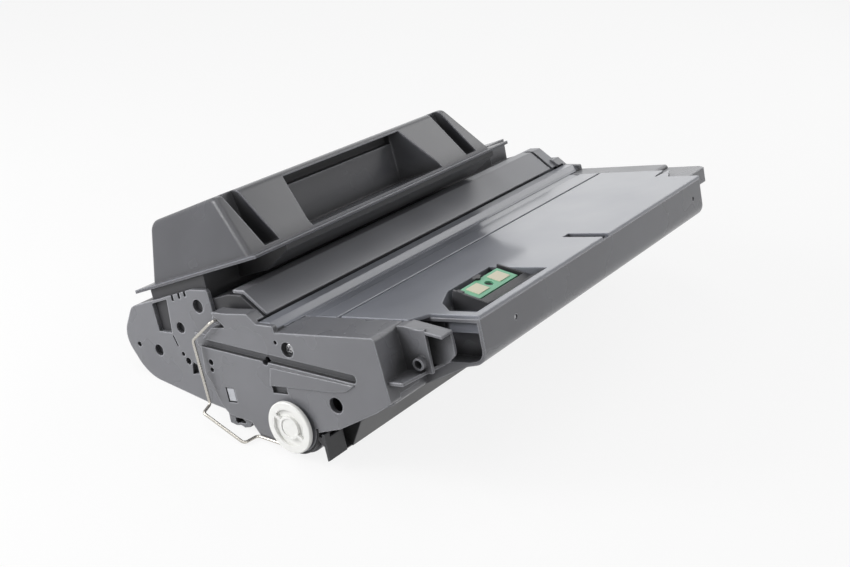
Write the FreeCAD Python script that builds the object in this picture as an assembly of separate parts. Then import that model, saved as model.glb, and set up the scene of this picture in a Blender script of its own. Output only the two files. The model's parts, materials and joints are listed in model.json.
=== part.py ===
import FreeCAD, Part
import math
import os

# Toner cartridge: a drum and waste unit under a flat platform, joined to a
# developer unit with its toner hopper and a hollow hand grip.
# Lengths are millimetres. Every section is drawn in the cartridge's own frame:
# X runs along the drum from the left end, Y towards the hand grip, Z square to
# the platform, with the drum axis at Y = Z = 0. The finished pieces are then
# tipped into the attitude in which the cartridge stands on a table.

Vec = FreeCAD.Vector

# Overall
LENGTH = 354.0
TIP_ANGLE = 16.3
FOOT_DEPTH = 19.7
WALL = 2.2
SEAT_GAP = 0.3
RUN_GAP = 0.05

# Drum, rollers and gears
DRUM_R = 15.0
DRUM_WALL = 0.9
DRUM_X0 = 22.0
DRIVE_SPACE = 32.0
DRUM_X1 = LENGTH - DRIVE_SPACE
PIN_R = 3.0
HUB_R = 6.5
COUPLING_R = 9.0
DISC_R = 16.1
DISC_T = 4.6
GEAR_MODULE = 1.0
GEAR_FACE = 7.0
FLANGE_LIP = 7.0
GEAR_X0 = DRUM_X1 + FLANGE_LIP
GEAR_X1 = GEAR_X0 + GEAR_FACE
GEAR_ROOM = 0.5
DRUM_TEETH = 31
SLEEVE_TEETH = 20
IDLER_TEETH = 48
AGITATOR_TEETH = 54
SLEEVE_ANGLE = 12.0
SLEEVE_SHAFT_R = 4.0
CORE_R = 2.5
CHARGE_R = 6.0
CHARGE_SHAFT_R = 3.0
CHARGE_ANGLE = 105.0
SHAFT_R = 3.0

# Drum and waste unit
PLATFORM_Z = 57.0
PLATE_T = 2.2
PLATFORM_Y0 = -116.7
PLATFORM_Y1 = -28.6
PLATFORM_X0 = 28.0
PLATFORM_INSET = 18.5
PLATFORM_X1 = LENGTH - PLATFORM_INSET
FRONT_X0 = 38.0
FRONT_X1 = LENGTH - FRONT_X0
FRONT_Z0 = 29.5
POCKET_DEPTH = 10.0
BIN_Y1 = -24.0
LOBE_R = 16.9
BAND_R = 18.4
COVER_T = 3.0
COVER_RIM = 9.0
LOBE_STEP = 4.8
SHELF_X = 26.5

# Developer unit
HOUSING_X0 = 12.0
HOUSING_X1 = DRUM_X1 + 0.4
SPLIT_Y = 60.0
AGITATOR_Y = 100.0
AGITATOR_Z = 41.5
GRIP_X0 = 11.5
GRIP_INSET = 93.0
GRIP_X1 = LENGTH - GRIP_INSET
GRIP_DRAFT = 7.5
GRIP_WALL = 2.4
GRIP_EDGE_R = 3.0
FLANGE_X0 = 9.4
FLANGE_X1 = GRIP_X1 + 14.0
FLANGE_Y0 = 9.0
FLANGE_Y1 = 124.0
FLANGE_T = 2.2
PANEL_X0 = 14.5
PANEL_X1 = LENGTH - 18.0
PANEL_END_X = LENGTH - 4.0
GEAR_COVER_X1 = LENGTH - COVER_RIM - 0.6

# Shutter and its links
WIRE_R = 0.95
SHUTTER_GAP = 3.5
SHUTTER_R = DRUM_R + SHUTTER_GAP
SHUTTER_T = 1.1
SHUTTER_X0 = 9.6
LINK_Y = 44.3
LINK_Z = 62.6
LINK_X = -4.0
JOG_X = -12.0
HOOK_X = -1.1
HOOK_Y = 8.1
HOOK_Z = -15.2
EYE_R = 1.75

# Memory chip and its tray
CHIP_TILT = 16.7
CHIP_L = 40.0
CHIP_W = 14.4
CHIP_T = 1.2
CHIP_X0 = 72.0
CHIP_BACK = 2.2
CHIP_DROP = 2.0
TRAY_X0 = CHIP_X0 - 2.7
TRAY_X1 = CHIP_X0 + CHIP_L + 4.2
TRAY_L = 24.0
TRAY_RIM = 1.2
TROUGH = 5.0
TRAY_Y = -78.0
TRAY_Z = 59.2
PIT_Z = 47.0

sleeve_distance = GEAR_MODULE * (DRUM_TEETH + SLEEVE_TEETH) / 2
SLEEVE_R = sleeve_distance - DRUM_R - SEAT_GAP
SLEEVE_Y = sleeve_distance * math.cos(math.radians(SLEEVE_ANGLE))
SLEEVE_Z = sleeve_distance * math.sin(math.radians(SLEEVE_ANGLE))
charge_distance = DRUM_R + CHARGE_R + SEAT_GAP
CHARGE_Y = charge_distance * math.cos(math.radians(CHARGE_ANGLE))
CHARGE_Z = charge_distance * math.sin(math.radians(CHARGE_ANGLE))
PLATE_Z = PLATFORM_Z - PLATE_T

nodes = {}


# Shape helpers

def outline(corners, x):
    """Closed wire in the plane at x; each corner is (y, z) or (y, z, radius)."""
    count = len(corners)
    points = [Vec(x, c[0], c[1]) for c in corners]
    radii = [c[2] if len(c) > 2 else 0.0 for c in corners]
    starts = []
    ends = []
    middles = []
    for i in range(count):
        here = points[i]
        if radii[i] <= 0:
            starts.append(here)
            ends.append(here)
            middles.append(None)
            continue
        before = points[i - 1] - here
        after = points[(i + 1) % count] - here
        half = before.getAngle(after) / 2
        reach = radii[i] / math.tan(half)
        before.normalize()
        after.normalize()
        bisector = before + after
        bisector.normalize()
        centre = here + bisector * (radii[i] / math.sin(half))
        starts.append(here + before * reach)
        ends.append(here + after * reach)
        middles.append(centre - bisector * radii[i])
    edges = []
    for i in range(count):
        if middles[i] is not None:
            edges.append(Part.Arc(starts[i], middles[i], ends[i]).toShape())
        nxt = (i + 1) % count
        if ends[i].distanceToPoint(starts[nxt]) > 1e-4:
            edges.append(Part.LineSegment(ends[i], starts[nxt]).toShape())
    return Part.Wire(Part.__sortEdges__(edges))


def prism(corners, x0, x1):
    return Part.Face(outline(corners, x0)).extrude(Vec(x1 - x0, 0, 0))


def inner_prism(corners, wall, x0, x1):
    face = Part.Face(outline(corners, x0)).makeOffset2D(-wall)
    return face.extrude(Vec(x1 - x0, 0, 0))


def plan(points, z0, z1):
    """Upright prism from (x, y) corners."""
    wire = Part.makePolygon([Vec(p[0], p[1], z0) for p in points + points[:1]])
    return Part.Face(wire).extrude(Vec(0, 0, z1 - z0))


def block(x0, x1, y0, y1, z0, z1):
    return Part.makeBox(x1 - x0, y1 - y0, z1 - z0, Vec(x0, y0, z0))


def rod(y, z, r, x0, x1):
    return Part.makeCylinder(r, x1 - x0, Vec(x0, y, z), Vec(1, 0, 0))


def ring(y, z, r_out, r_in, x0, x1):
    return rod(y, z, r_out, x0, x1).cut(rod(y, z, r_in, x0 - 1, x1 + 1))


def fuse(first, *others):
    return first.multiFuse(list(others)).removeSplitter()


def cut(shape, *tools):
    return shape.cut(tools[0].multiFuse(list(tools[1:])) if len(tools) > 1 else tools[0])


def mirrored(shape):
    """The same shape at the other end of the cartridge."""
    return shape.mirror(Vec(LENGTH / 2, 0, 0), Vec(1, 0, 0))


def sector(r_in, r_out, angle0, angle1, x0, x1):
    """Part of a ring about the drum axis, between two angles from +Y towards +Z."""
    reach = r_out * 1.6
    points = [(0, 0)]
    for i in range(5):
        a = math.radians(angle0 + (angle1 - angle0) * i / 4)
        points.append((reach * math.cos(a), reach * math.sin(a)))
    return ring(0, 0, r_out, r_in, x0, x1).common(prism(points, x0, x1))


def thick_line(y0, z0, y1, z1, t, x0, x1):
    """Flat plate of thickness t that follows a line in the YZ plane."""
    length = math.hypot(y1 - y0, z1 - z0)
    ny = -(z1 - z0) / length * t / 2
    nz = (y1 - y0) / length * t / 2
    return prism([(y0 + ny, z0 + nz), (y1 + ny, z1 + nz), (y1 - ny, z1 - nz), (y0 - ny, z0 - nz)], x0, x1)


# Gears

def gear(y, z, teeth, phase, x0, x1, bore):
    """Spur gear about an axis along X, with a tooth centred at the phase angle."""
    pitch_r = GEAR_MODULE * teeth / 2
    tip_r = pitch_r + 0.9 * GEAR_MODULE
    root_r = pitch_r - 1.15 * GEAR_MODULE
    root_half = 0.36 * 2 * math.pi / teeth
    tip_half = 0.13 * 2 * math.pi / teeth
    points = []
    for tooth in range(teeth):
        centre = math.radians(phase) + 2 * math.pi * tooth / teeth
        for r, turn in ((root_r, -root_half), (tip_r, -tip_half), (tip_r, tip_half), (root_r, root_half)):
            points.append(Vec(x0, y + r * math.cos(centre + turn), z + r * math.sin(centre + turn)))
    wheel = Part.Face(Part.makePolygon(points + points[:1])).extrude(Vec(x1 - x0, 0, 0))
    return wheel.cut(rod(y, z, bore, x0 - 1, x1 + 1))


def mesh_phase(teeth_a, phase_a, direction, teeth_b):
    """Phase of gear B that puts its gaps over gear A's teeth."""
    share = ((direction - phase_a) * teeth_a / 360.0) % 1.0
    return direction + 180.0 + (share + 0.5) * 360.0 / teeth_b


def bearing_angle(y0, z0, y1, z1):
    return math.degrees(math.atan2(z1 - z0, y1 - y0))


sleeve_gear_r = GEAR_MODULE * SLEEVE_TEETH / 2
idler_gear_r = GEAR_MODULE * IDLER_TEETH / 2
agitator_gear_r = GEAR_MODULE * AGITATOR_TEETH / 2
centre_span = math.hypot(AGITATOR_Y - SLEEVE_Y, AGITATOR_Z - SLEEVE_Z)
reach_a = sleeve_gear_r + idler_gear_r
reach_b = idler_gear_r + agitator_gear_r
along = (centre_span ** 2 + reach_a ** 2 - reach_b ** 2) / (2 * centre_span)
aside = math.sqrt(reach_a ** 2 - along ** 2)
unit_y = (AGITATOR_Y - SLEEVE_Y) / centre_span
unit_z = (AGITATOR_Z - SLEEVE_Z) / centre_span
IDLER_Y = SLEEVE_Y + along * unit_y - aside * unit_z
IDLER_Z = SLEEVE_Z + along * unit_z + aside * unit_y

to_sleeve = bearing_angle(0, 0, SLEEVE_Y, SLEEVE_Z)
sleeve_phase = mesh_phase(DRUM_TEETH, to_sleeve, to_sleeve, SLEEVE_TEETH)
to_idler = bearing_angle(SLEEVE_Y, SLEEVE_Z, IDLER_Y, IDLER_Z)
idler_phase = mesh_phase(SLEEVE_TEETH, sleeve_phase, to_idler, IDLER_TEETH)
to_agitator = bearing_angle(IDLER_Y, IDLER_Z, AGITATOR_Y, AGITATOR_Z)
agitator_phase = mesh_phase(IDLER_TEETH, idler_phase, to_agitator, AGITATOR_TEETH)


# Side covers

cover_corners = [
    (48.2, 67.4, 0.8), (34.7, 66.8, 2), (18.0, 67.1, 1.5), (11.6, 61.2, 1.2), (-1.4, 60.5, 1.0),
    (-1.7, 56.8), (-74.6, 56.8, 2.5), (-77.4, 19.6, 2.0), (-65.7, 13.2, 6), (-36.0, 0.8, 8),
    (-14.0, -4.0), (0.0, -11.0), (12.0, -12.5), (29.6, -10.8, 2), (35.4, -1.4, 2), (52.6, 1.6, 3),
    (58.6, 8.6, 4), (61.4, 20.3, 3), (65.8, 27.7, 4), (63.2, 48.0, 1), (50.3, 57.4, 0.6), (37.8, 58.0, 0.6),
]
RAIL_Y0 = -56.0
RAIL_Z0 = 29.4
RAIL_Y1 = 69.0
RAIL_Z1 = 46.1
RAIL_H = 5.2
RAIL_DEPTH = 2.6
RAIL_BACK = 1.8
PAD_RISE = 0.5
SCREW_Y = -9.0
SCREW_Z = 46.8
SCREW_R = 1.6
SCREW_HEAD_R = 3.6
LENS_Y = 47.5
LENS_Z = 14.8

bar_corners = [
    (13.4, 59.6), (12.8, 61.3, 0.5), (4.4, 61.2, 1.0), (0.4, 57.8, 1.0), (-1.2, 57.2), (-1.2, 54.4),
    (2.0, 55.4), (5.2, 58.6), (10.4, 58.6), (9.4, 30.0), (7.2, 26.0), (8.6, 25.0), (11.6, 29.0),
]


def rail_groove(grow, x0, x1):
    """The guide rail's groove, rounded at its front end; grown, it is the wall behind the groove."""
    end_r = 0.42 * RAIL_H
    return prism([(RAIL_Y0 - grow, RAIL_Z0 - grow, end_r), (RAIL_Y0 - grow, RAIL_Z0 + RAIL_H + grow, end_r),
                  (RAIL_Y1, RAIL_Z1 + RAIL_H + grow), (RAIL_Y1, RAIL_Z1 - grow)], x0, x1)


def cover_shell(shelf_x):
    lobe = fuse(rod(0, 0, LOBE_R, 0, COVER_RIM), rod(0, 0, FOOT_DEPTH, LOBE_STEP, COVER_RIM))
    outer = prism(cover_corners, 0, COVER_RIM).fuse(lobe)
    hollow = inner_prism(cover_corners, WALL, COVER_T, COVER_RIM + 1)
    lobe_hollow = rod(0, 0, LOBE_R - WALL, COVER_T, COVER_RIM + 1)
    shell = cut(outer, hollow, lobe_hollow)
    shelf = prism([(-2.4, 54.8), (-2.4, 56.8), (-74.6, 56.8, 2.5), (-75.6, 43.5), (-73.6, 43.5),
                   (-72.7, 54.8)], COVER_RIM - 1, shelf_x)
    corner = prism([(-75.4, 44.5), (-73.4, 44.5), (-75.0, 21.5), (-77.1, 21.5)], COVER_RIM - 1, shelf_x)
    bosses = [
        rod(SCREW_Y, SCREW_Z, 5.6, 0.5, COVER_RIM),
        rod(0, 0, 7.0, 0.5, COVER_RIM),
        rod(LINK_Y, LINK_Z, 3.4, 0.5, COVER_RIM),
    ]
    shell = fuse(shell, shelf, corner, *bosses)
    drum_hole = rod(0, 0, PIN_R + RUN_GAP, -1, COVER_RIM + 1)
    link_hole = rod(LINK_Y, LINK_Z, WIRE_R + RUN_GAP, -1, COVER_RIM + 1)
    screw_hole = rod(SCREW_Y, SCREW_Z, SCREW_R + RUN_GAP, -1, COVER_RIM + 1)
    counterbore = rod(SCREW_Y, SCREW_Z, SCREW_HEAD_R + 0.9, -1, 2.6)
    bar_seat = prism([(14.6, 62.5), (-1.6, 62.5), (-1.6, 54.0), (14.6, 54.0)], COVER_T + 0.2, COVER_RIM + 1)
    eye_pocket = prism([(5.2, -13.2), (10.0, -12.9), (22.0, -17.5), (14.0, -26.0), (4.0, -20.0)],
                       -1, LOBE_STEP)
    band_slot = sector(LOBE_R, BAND_R + 0.4, -150.0, -178.0, -1, LOBE_STEP)
    return cut(shell, drum_hole, link_hole, screw_hole, counterbore, bar_seat, eye_pocket, band_slot)


def front_bracket():
    """Open bracket in front of the left cover, with its guide ring."""
    inner_wall = block(19.4, 21.4, -93.5, -75.0, 30.0, 55.0)
    outer_wall = prism([(-75.2, 32.0), (-75.2, 54.4), (-79.7, 54.4), (-80.2, 55.6), (-103.8, 51.0, 0.5),
                        (-104.5, 46.0, 4), (-104.5, 38.0, 4), (-97.0, 32.0, 4)], 27.4, 29.4)
    lid_back = prism([(-75.2, 56.6), (-79.6, 56.6), (-79.6, 54.9), (-75.2, 54.9)], 19.4, 27.6)
    lid = prism([(-79.3, 56.6), (-80.0, 56.6), (-104.0, 51.9, 0.6), (-104.3, 50.2), (-80.0, 54.8),
                 (-79.3, 54.8)], 19.4, 29.4)
    floor = plan([(2.0, -76.2), (2.0, -86.5), (37.7, -93.0), (37.7, -76.2)], FRONT_Z0, FRONT_Z0 + 2.0)
    guide = rod(-88.0, 36.5, 3.6, 15.5, 20.0)
    bore = rod(-88.0, 36.5, 2.4, 14.0, 22.0)
    return cut(fuse(inner_wall, outer_wall, lid_back, lid, floor, guide), bore)


def left_cover():
    foot = prism([(35.8, -2.0), (38.2, -5.6, 1), (43.3, -6.4, 1), (46.2, -5.0, 1), (50.2, -5.4, 1),
                  (55.0, -4.0, 1), (54.4, 4.0), (44.0, 2.0)], 0.8, COVER_RIM)
    foot_cavity = prism([(39.8, -3.7, 0.8), (46.2, -3.4, 0.6), (49.6, -4.2, 0.8), (49.8, -0.4, 1),
                         (43.5, -0.6, 1)], -1, COVER_RIM - 2)
    backing = rail_groove(RAIL_BACK, COVER_T - 0.5, RAIL_DEPTH + RAIL_BACK)
    pad = prism([(8.0, 35.2), (RAIL_Y0 + 2.0, RAIL_Z0 - 1.0), (RAIL_Y0 + 9.0, 24.4, 2), (-38.0, 23.4),
                 (11.6, 23.9)], -PAD_RISE, 1.0)
    shell = fuse(cover_shell(SHELF_X), front_bracket(), foot, backing, pad)
    holes = [
        rod(58.0, 35.2, 1.9, -1, 6), rod(58.7, 30.3, 1.5, -1, 6), rod(11.2, 38.4, 2.2, -1, 6),
        rod(-0.8, 50.8, 1.2, -1, 6), rod(-36.9, 15.4, 4.8, -1, 6),
        block(-1, 1.6, LENS_Y - 4.0, LENS_Y + 3.4, LENS_Z - 4.8, LENS_Z + 4.8),
        block(-1, 2.0, -1.2, 10.4, 19.2, 23.5),
    ]
    screw_collar = ring(SCREW_Y, SCREW_Z, 5.8, SCREW_HEAD_R + 0.9, 0, 2.6)
    return fuse(cut(shell, foot_cavity, rail_groove(0, -1, RAIL_DEPTH), *holes), screw_collar)


nodes["left_side_cover"] = left_cover()

RIGHT_SHELF_X = LENGTH - PLATFORM_X1 - SEAT_GAP
right_cover = mirrored(cover_shell(RIGHT_SHELF_X))
guard = ring(0, 0, FOOT_DEPTH, FOOT_DEPTH - WALL, DRUM_X1 + 5.0, LENGTH - COVER_RIM + 1)
guard = guard.common(prism([(-9, -60), (-60, -60), (-60, 2), (0, 2), (0, -10), (14, -60)], DRUM_X1, LENGTH))
LUG_X = PLATFORM_X1 - 5.5
lug = plan([(LUG_X, -75.5), (LENGTH, -75.5), (LENGTH, -100.0), (LENGTH - 4, -105.0),
            (FRONT_X1 + SEAT_GAP, -105.0), (FRONT_X1 + SEAT_GAP, -94.0), (LUG_X, -86.0)], 44.0, PLATE_Z - SEAT_GAP)
right_cover = fuse(right_cover, guard, lug)
bush_hole = rod(0, 0, COUPLING_R + 1.0, LENGTH - COVER_RIM - 1, LENGTH + 1)
nodes["right_side_cover"] = cut(right_cover, bush_hole)


# Waste bin, its platform and the exposure bar

bin_corners = [
    (BIN_Y1, PLATE_Z), (PLATFORM_Y0, PLATE_Z), (PLATFORM_Y0, FRONT_Z0, 9), (-103.0, 27.0, 6),
    (-77.7, 17.2, 6), (-36.0, 0.8, 6), (BIN_Y1, -1.0, 1),
]
wing_corners = [(BIN_Y1, 54.6), (-72.4, 54.6), (-72.4, 15.2, 3), (-36.0, 0.8, 6), (BIN_Y1, -1.0, 1)]
WING_X0 = COVER_RIM + 0.2
WING_X1 = LENGTH - WING_X0
MOUTH_Z0 = 8.0
MOUTH_Z1 = 23.0


def waste_bin():
    outer = fuse(prism(bin_corners, FRONT_X0, FRONT_X1), prism(wing_corners, WING_X0, WING_X1))
    pocket_x = FRONT_X0 + POCKET_DEPTH
    main_space = inner_prism(bin_corners, WALL, pocket_x + WALL, FRONT_X1 - WALL)
    wing_space = inner_prism(wing_corners, WALL, WING_X0 + WALL, WING_X1 - WALL)
    pocket = inner_prism(bin_corners, WALL, FRONT_X0 - 1, pocket_x)
    pocket = pocket.common(block(FRONT_X0 - 1, pocket_x, PLATFORM_Y0, -76.5, FRONT_Z0, PLATE_Z))
    tub_room = grown(pit_edge, TUB_WALL + SEAT_GAP)
    tub_room.translate(Vec(0, 0, PIT_Z - TUB_WALL - SEAT_GAP))
    tub_room = tub_room.extrude(Vec(0, 0, PLATE_Z - PIT_Z + 4))
    tub_room = tub_room.common(block(FRONT_X0 + WALL, LENGTH, PLATFORM_Y0 + WALL, BIN_Y1, 0, PLATE_Z + 1))
    lift = Vec(0, 0, 2 * WALL)
    open_top = main_space.translated(lift)
    mouth = block(DRUM_X0 + 4, DRUM_X1 - 4, BIN_Y1 - 5, BIN_Y1 + 5, MOUTH_Z0, MOUTH_Z1)
    holes = [front_screw_hole(x) for x in FRONT_SCREWS]
    return cut(outer, main_space, wing_space, open_top, pocket, tub_room, mouth, *holes)


FRONT_SCREWS = (70.7, LENGTH - 51.6)
FRONT_SCREW_Z = 44.0


def front_screw_hole(x):
    return Part.makeCylinder(1.5, 8, Vec(x, PLATFORM_Y0 - 1, FRONT_SCREW_Z), Vec(0, 1, 0))


platform_edge = [
    (PLATFORM_X0, PLATFORM_Y1), (PLATFORM_X1, PLATFORM_Y1), (PLATFORM_X1, -80.0), (FRONT_X1 + 2, -81.6),
    (FRONT_X1 + 2, -83.2), (PLATFORM_X1, -84.8), (FRONT_X1 + 0.4, -93.0), (FRONT_X1, PLATFORM_Y0),
    (FRONT_X0, PLATFORM_Y0), (FRONT_X0, -84.0), (PLATFORM_X0, -77.0),
]
PIT_X1 = TRAY_X1 + SEAT_GAP
PIT_Y0 = -112.0
PIT_Y1 = -71.0
TUB_WALL = 1.6
pit_edge = [(54.4, -80.8), (43.0, -94.0), (43.0, PIT_Y0), (PIT_X1, PIT_Y0), (PIT_X1, PIT_Y1), (73.5, PIT_Y1)]
VENT_X0 = 174.5
VENT_X1 = 182.0


def grown(points, by):
    """Flat face at z = 0 from (x, y) corners, grown by a width."""
    wire = Part.makePolygon([Vec(p[0], p[1], 0) for p in points + points[:1]])
    return Part.Face(wire).makeOffset2D(by)


def platform_cover():
    plate = plan(platform_edge, PLATE_Z, PLATFORM_Z)
    pit_outer = grown(pit_edge, TUB_WALL)
    pit_outer.translate(Vec(0, 0, PIT_Z - TUB_WALL))
    tub = pit_outer.extrude(Vec(0, 0, PLATE_Z - PIT_Z + TUB_WALL))
    tub = tub.common(block(0, LENGTH, PLATFORM_Y0 + WALL + 0.1, 0, 0, PLATFORM_Z))
    pit = plan(pit_edge, PIT_Z, PLATFORM_Z + 1)
    vent = block(VENT_X0, VENT_X1, PLATFORM_Y0 - 1, -88.0, PLATE_Z - 1, PLATFORM_Z + 1)
    return cut(fuse(plate, tub), pit, vent)


def exposure_bar():
    bar = prism(bar_corners, COVER_T + 0.4, LENGTH - COVER_T - 0.4)
    trimmed_web = block(COVER_T, DRUM_X0 - 3, 0, 14, 20, 50).fuse(block(DRUM_X1 + 3, LENGTH, 0, 14, 20, 50))
    strip = prism([(-0.6, 57.0), (-9.5, 56.2), (-10.5, 57.0), (-26.0, 57.0, 0.4), (-26.0, PLATE_Z),
                   (BIN_Y1 + 1.0, PLATE_Z), (-0.6, 54.6)], SHELF_X + 0.4, LENGTH - RIGHT_SHELF_X - 0.4)
    body = fuse(cut(bar, trimmed_web), strip)
    for x0 in (DRUM_X0 - 9.0, LENGTH - DRUM_X0 + 3.0):
        plate = fuse(block(x0, x0 + 6.0, -20.0, 8.5, 16.8, PLATE_Z - SEAT_GAP),
                     block(x0, x0 + 6.0, -2.0, 8.5, 50.0, 55.8))
        seat = block(x0 - 1, x0 + 7, CHARGE_Y - 4.5, CHARGE_Y + 4.5, 10.0, CHARGE_Z + 9.0)
        body = fuse(body, cut(plate, seat))
    return body


nodes["waste_bin"] = waste_bin()
nodes["platform_cover"] = platform_cover()
nodes["exposure_bar"] = exposure_bar()


# Drum with its pin, disc, drive flange and bearing

nodes["drum_tube"] = ring(0, 0, DRUM_R, DRUM_R - DRUM_WALL, DRUM_X0, DRUM_X1)
plug_r = DRUM_R - DRUM_WALL
left_flange = fuse(rod(0, 0, plug_r, DRUM_X0, DRUM_X0 + 8), rod(0, 0, DRUM_R, DRUM_X0 - 4, DRUM_X0),
                   rod(0, 0, HUB_R, COVER_RIM + 0.5, DRUM_X0 - 4))
nodes["drum_left_flange"] = cut(left_flange, rod(0, 0, PIN_R + RUN_GAP, 0, DRUM_X0 + 9))
nodes["drum_pin"] = rod(0, 0, PIN_R, -2.0, DRUM_X0 + 6)

disc = rod(0, 0, DISC_R, -DISC_T, -2.3).fuse(rod(0, 0, 7.5, -2.3, 0))
disc = disc.makeChamfer(0.6, [e for e in disc.Edges if abs(e.BoundBox.XMin + DISC_T) < 0.01 and e.Length > 90])
spokes = block(-DISC_T, -2.3, -DISC_R, DISC_R, -1.1, 1.1)
spokes.rotate(Vec(0, 0, 0), Vec(1, 0, 0), 40)
dish = ring(0, 0, 11.4, 7.2, -DISC_T - 1, -2.9).cut(spokes)
disc = cut(disc, dish, rod(0, 0, 5.6, -DISC_T - 1, -DISC_T + 0.5), rod(0, 0, PIN_R + RUN_GAP, -2.1, 1))
nodes["drum_bearing_disc"] = disc

drive = fuse(rod(0, 0, plug_r, DRUM_X1 - 8, DRUM_X1), rod(0, 0, DRUM_R, DRUM_X1, GEAR_X0),
             gear(0, 0, DRUM_TEETH, to_sleeve, GEAR_X0, GEAR_X1, 5.0),
             rod(0, 0, HUB_R, DRUM_X1, LENGTH + 1.0), rod(0, 0, COUPLING_R, LENGTH + 0.8, LENGTH + 5.5))
pocket_angles = [math.radians(90 + 120 * i) for i in range(4)]
pocket_points = [Vec(LENGTH + 1.5, 6.4 * math.cos(a), 6.4 * math.sin(a)) for a in pocket_angles]
pocket = Part.Face(Part.makePolygon(pocket_points)).extrude(Vec(6, 0, 0))
nodes["drum_drive_flange"] = cut(drive, pocket)
nodes["drum_right_bearing"] = ring(0, 0, COUPLING_R + 1.0, HUB_R + RUN_GAP, LENGTH - COVER_RIM, LENGTH)


# Charge roller

nodes["charge_roller_shaft"] = rod(CHARGE_Y, CHARGE_Z, CHARGE_SHAFT_R, DRUM_X0 - 9, LENGTH - DRUM_X0 + 9)
nodes["charge_roller_rubber"] = ring(CHARGE_Y, CHARGE_Z, CHARGE_R, CHARGE_SHAFT_R, DRUM_X0 + 6, DRUM_X1 - 6)


def charge_bearing(x0):
    body = block(x0, x0 + 6, CHARGE_Y - 4.4, CHARGE_Y + 4.4, CHARGE_Z - 4.2, CHARGE_Z + 4.5)
    return body.cut(rod(CHARGE_Y, CHARGE_Z, CHARGE_SHAFT_R + RUN_GAP, x0 - 1, x0 + 7))


nodes["charge_bearing_left"] = charge_bearing(DRUM_X0 - 9.0)
nodes["charge_bearing_right"] = charge_bearing(LENGTH - DRUM_X0 + 3.0)


# Cleaning blade in the waste bin's mouth

CLEAN_SCREW_Z = 36.0
CLEAN_SCREWS = (DRUM_X0 + 12, DRUM_X1 - 12)
bracket = prism([(BIN_Y1, 42.0), (BIN_Y1 + 1.2, 42.0), (BIN_Y1 + 1.2, 24.5), (-18.2, 19.0), (-19.2, 18.1),
                 (BIN_Y1, 23.9)], DRUM_X0 + 4, DRUM_X1 - 4)
clean_holes = []
for x in CLEAN_SCREWS:
    clean_holes.append(Part.makeCylinder(1.5, 10, Vec(x, BIN_Y1 - 4, CLEAN_SCREW_Z), Vec(0, 1, 0)))
nodes["cleaning_bracket"] = cut(bracket, *clean_holes)
nodes["waste_bin"] = cut(nodes["waste_bin"], *clean_holes)
nodes["cleaning_blade"] = prism([(-18.2, 19.0), (-19.2, 18.1), (-14.1, 7.6), (-12.9, 8.5)],
                                DRUM_X0 + 4, DRUM_X1 - 4)
screws = []
for x in CLEAN_SCREWS:
    shank = Part.makeCylinder(1.45, 5.0, Vec(x, BIN_Y1 - 3.8, CLEAN_SCREW_Z), Vec(0, 1, 0))
    head = Part.makeCylinder(3.0, 1.8, Vec(x, BIN_Y1 + 1.2, CLEAN_SCREW_Z), Vec(0, 1, 0))
    screws.append(shank.fuse(head))
nodes["cleaning_screws"] = Part.Compound(screws)


# Chip tray, chip and contact pads

def tilted(shape):
    """Local Y runs back along the tray's slope, local Z off its face."""
    turned = shape.copy()
    turned.rotate(Vec(0, 0, 0), Vec(1, 0, 0), CHIP_TILT)
    turned.translate(Vec(0, TRAY_Y, TRAY_Z))
    return turned


CHIP_MID = CHIP_X0 + CHIP_L / 2
NOTCH_R = 2.2


def chip_tray():
    """Sloped bed with a trough round the chip's pedestal, and a ramp up to the platform's front edge."""
    bed = tilted(block(TRAY_X0, TRAY_X1, -TRAY_L, 0, -25, 0))
    ramp = prism([(-100.2, 52.4), (-100.2, PIT_Z), (PIT_Y0 + SEAT_GAP, PIT_Z), (PIT_Y0 + SEAT_GAP, 56.6)],
                 TRAY_X0, TRAY_X1)
    trough = tilted(block(TRAY_X0 + TRAY_RIM, TRAY_X1 - TRAY_RIM, -CHIP_BACK - CHIP_W - 2.0, 1, -TROUGH, 1))
    pedestal = tilted(block(CHIP_X0, CHIP_X0 + CHIP_L, -CHIP_BACK - CHIP_W, -CHIP_BACK, -8, -CHIP_DROP))
    clip = fuse(block(CHIP_MID - 3.5, CHIP_MID + 3.5, -2.0, 0, -8, 0.4),
                Part.makeCylinder(NOTCH_R - 0.3, 8.4, Vec(CHIP_MID, -1.4, -8)))
    side_clip = block(CHIP_X0 - 2.7, CHIP_X0 - 0.3, -6.5, -2.5, -8, 0.4)
    body = fuse(cut(fuse(bed, ramp), trough), pedestal, tilted(clip), tilted(side_clip))
    return body.common(block(TRAY_X0, TRAY_X1, PIT_Y0 + SEAT_GAP, TRAY_Y + 2, PIT_Z, TRAY_Z + 2))


chip = block(CHIP_X0, CHIP_X0 + CHIP_L, -CHIP_BACK - CHIP_W, -CHIP_BACK, -CHIP_DROP, -CHIP_DROP + CHIP_T)
chip_hole = Part.makeCylinder(2.8, 4, Vec(CHIP_MID, -CHIP_BACK - CHIP_W * 0.52, -3))
chip_notch = Part.makeCylinder(NOTCH_R, 4, Vec(CHIP_MID, -1.4, -3))
PAD_L = 11.0
PAD_T = 0.4
pads = []
for x in (CHIP_X0 + 3.6, CHIP_X0 + CHIP_L - 3.6 - PAD_L):
    pads.append(tilted(block(x, x + PAD_L, -CHIP_BACK - CHIP_W + 3.0, -CHIP_BACK - 2.4,
                             -CHIP_DROP + CHIP_T, -CHIP_DROP + CHIP_T + PAD_T)))
nodes["chip_tray"] = chip_tray()
nodes["chip_board"] = tilted(cut(chip, chip_hole, chip_notch))
nodes["chip_contacts"] = Part.Compound(pads)


# Magnetic roller, doctor blade and developer housing

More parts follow.
